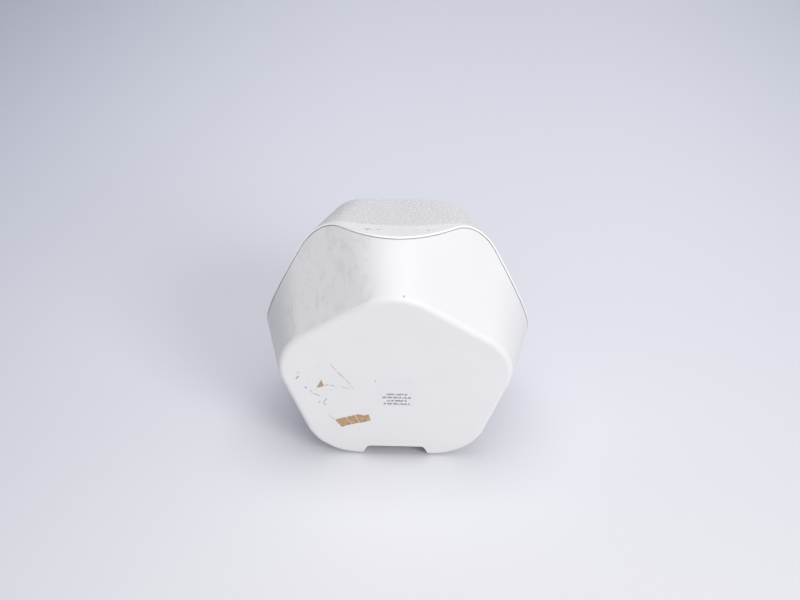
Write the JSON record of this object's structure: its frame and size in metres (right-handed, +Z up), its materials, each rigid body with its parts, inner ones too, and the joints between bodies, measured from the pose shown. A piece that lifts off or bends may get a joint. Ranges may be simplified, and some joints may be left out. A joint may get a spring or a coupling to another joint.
{
  "type": "smart speaker",
  "caption": "Faceted wireless smart speaker with a moulded rear housing, pull-off fabric cover, woofer, tweeter, sprung control buttons and a recessed connection bay.",
  "frame": {"origin": "under the middle of the speaker's bounding box, on the plane its feet stand on", "axes": "+X across the speaker, to the right seen from the front facing the rear, +Y towards the flat rear face, +Z up. The axis of the body lies in the YZ plane and its front end looks about 15 degrees upward"},
  "size_m": [0.1894, 0.1634, 0.1773],
  "materials": {
    "white_plastic": "satin moulded",
    "grey_rubber": "matte",
    "melange_fabric": "woven melange",
    "grille_plastic": "fine texture",
    "cabinet_plastic": "fine texture",
    "gasket_foam": "closed-cell foam",
    "nickel_plate": "nickel plated",
    "screw_steel": "black zinc",
    "connector_plastic": "smooth",
    "contact_brass": "plated",
    "circuit_board": "solder resist",
    "switch_plastic": "smooth",
    "light_pipe": "frosted",
    "black_steel": "powder coat",
    "ferrite": "sintered",
    "zinc_steel": "zinc plated",
    "coil_copper": "enamelled",
    "cone_paper": "pressed pulp",
    "cap_plastic": "satin",
    "surround_rubber": "matte",
    "spider_cloth": "resin-stiffened cloth",
    "dome_silk": "coated silk",
    "heat_sink_aluminium": "extruded",
    "turned_aluminium": "turned",
    "chip_plastic": "moulded epoxy",
    "shield_steel": "tin plated",
    "capacitor_can": "sleeved",
    "transformer_core": "taped winding",
    "wadding_fibre": "loose fibre",
    "cable_sheath": "smooth",
    "label_film": "clear film"
  },
  "bodies": {
    "casing": {"rear_housing": "white_plastic", "front_frame": "white_plastic", "connection_tray": "white_plastic", "connection_plate": "white_plastic", "seam_gasket": "grey_rubber", "base_feet": "grey_rubber", "baffle_drum": "cabinet_plastic", "baffle_board": "cabinet_plastic", "tweeter_plate": "cabinet_plastic", "drum_gasket": "gasket_foam", "woofer_gasket": "gasket_foam", "keeper_magnets": "nickel_plate", "cabinet_screws": "screw_steel", "driver_screws": "screw_steel", "board_screws": "screw_steel", "mains_inlet": "connector_plastic", "line_in_jack": "connector_plastic", "line_out_jack": "connector_plastic", "mains_terminal": "connector_plastic", "inlet_pins": "contact_brass", "woofer_terminals": "contact_brass", "button_board": "circuit_board", "main_board": "circuit_board", "power_board": "circuit_board", "button_switches": "switch_plastic", "status_lights": "light_pipe", "woofer_basket": "black_steel", "woofer_magnet": "ferrite", "filter_coils": "ferrite", "woofer_top_plate": "zinc_steel", "woofer_back_plate": "zinc_steel", "tweeter_motor": "zinc_steel", "woofer_surround": "surround_rubber", "woofer_spider": "spider_cloth", "heat_sink": "heat_sink_aluminium", "cabinet_posts": "turned_aluminium", "amplifier_chip": "chip_plastic", "signal_processor": "chip_plastic", "wireless_module": "shield_steel", "board_capacitors": "capacitor_can", "power_capacitors": "capacitor_can", "power_transformer": "transformer_core", "damping_wadding": "wadding_fibre", "woofer_leads": "cable_sheath", "tweeter_leads": "cable_sheath", "button_leads": "cable_sheath", "mains_leads": "cable_sheath", "rating_label": "label_film"},
    "cover": {"grille_cloth": "melange_fabric", "grille_frame": "grille_plastic", "cover_magnets": "nickel_plate"},
    "woofer_diaphragm": {"woofer_cone": "cone_paper", "woofer_dust_cap": "cap_plastic", "woofer_voice_coil": "coil_copper"},
    "tweeter_diaphragm": {"tweeter_dome": "dome_silk", "tweeter_coil": "coil_copper"},
    "power_button": {"power_button": "white_plastic"},
    "pairing_button": {"pairing_button": "white_plastic"},
    "volume_down_button": {"volume_down_button": "white_plastic"},
    "volume_up_button": {"volume_up_button": "white_plastic"}
  },
  "joints": [
    {"name": "cover_pull", "type": "slide", "parent": "casing", "child": "cover", "axis": [0, -0.9669, 0.2553], "range_m": [0, 0.08]},
    {"name": "woofer_stroke", "type": "slide", "parent": "casing", "child": "woofer_diaphragm", "axis": [0, -0.9669, 0.2553], "range_m": [-0.003, 0.003], "stiffness_N_per_m": 1500, "deforming": ["woofer_surround", "woofer_spider"]},
    {"name": "tweeter_stroke", "type": "slide", "parent": "casing", "child": "tweeter_diaphragm", "axis": [0, -0.9669, 0.2553], "range_m": [-0.0003, 0.0003], "stiffness_N_per_m": 800},
    {"name": "power_press", "type": "slide", "parent": "casing", "child": "power_button", "axis": [0, 0.1374, -0.9905], "range_m": [0, 0.0005], "stiffness_N_per_m": 400},
    {"name": "pairing_press", "type": "slide", "parent": "casing", "child": "pairing_button", "axis": [0, 0.1374, -0.9905], "range_m": [0, 0.0005], "stiffness_N_per_m": 400},
    {"name": "volume_down_press", "type": "slide", "parent": "casing", "child": "volume_down_button", "axis": [0, 0.1374, -0.9905], "range_m": [0, 0.0005], "stiffness_N_per_m": 400},
    {"name": "volume_up_press", "type": "slide", "parent": "casing", "child": "volume_up_button", "axis": [0, 0.1374, -0.9905], "range_m": [0, 0.0005], "stiffness_N_per_m": 400}
  ]
}
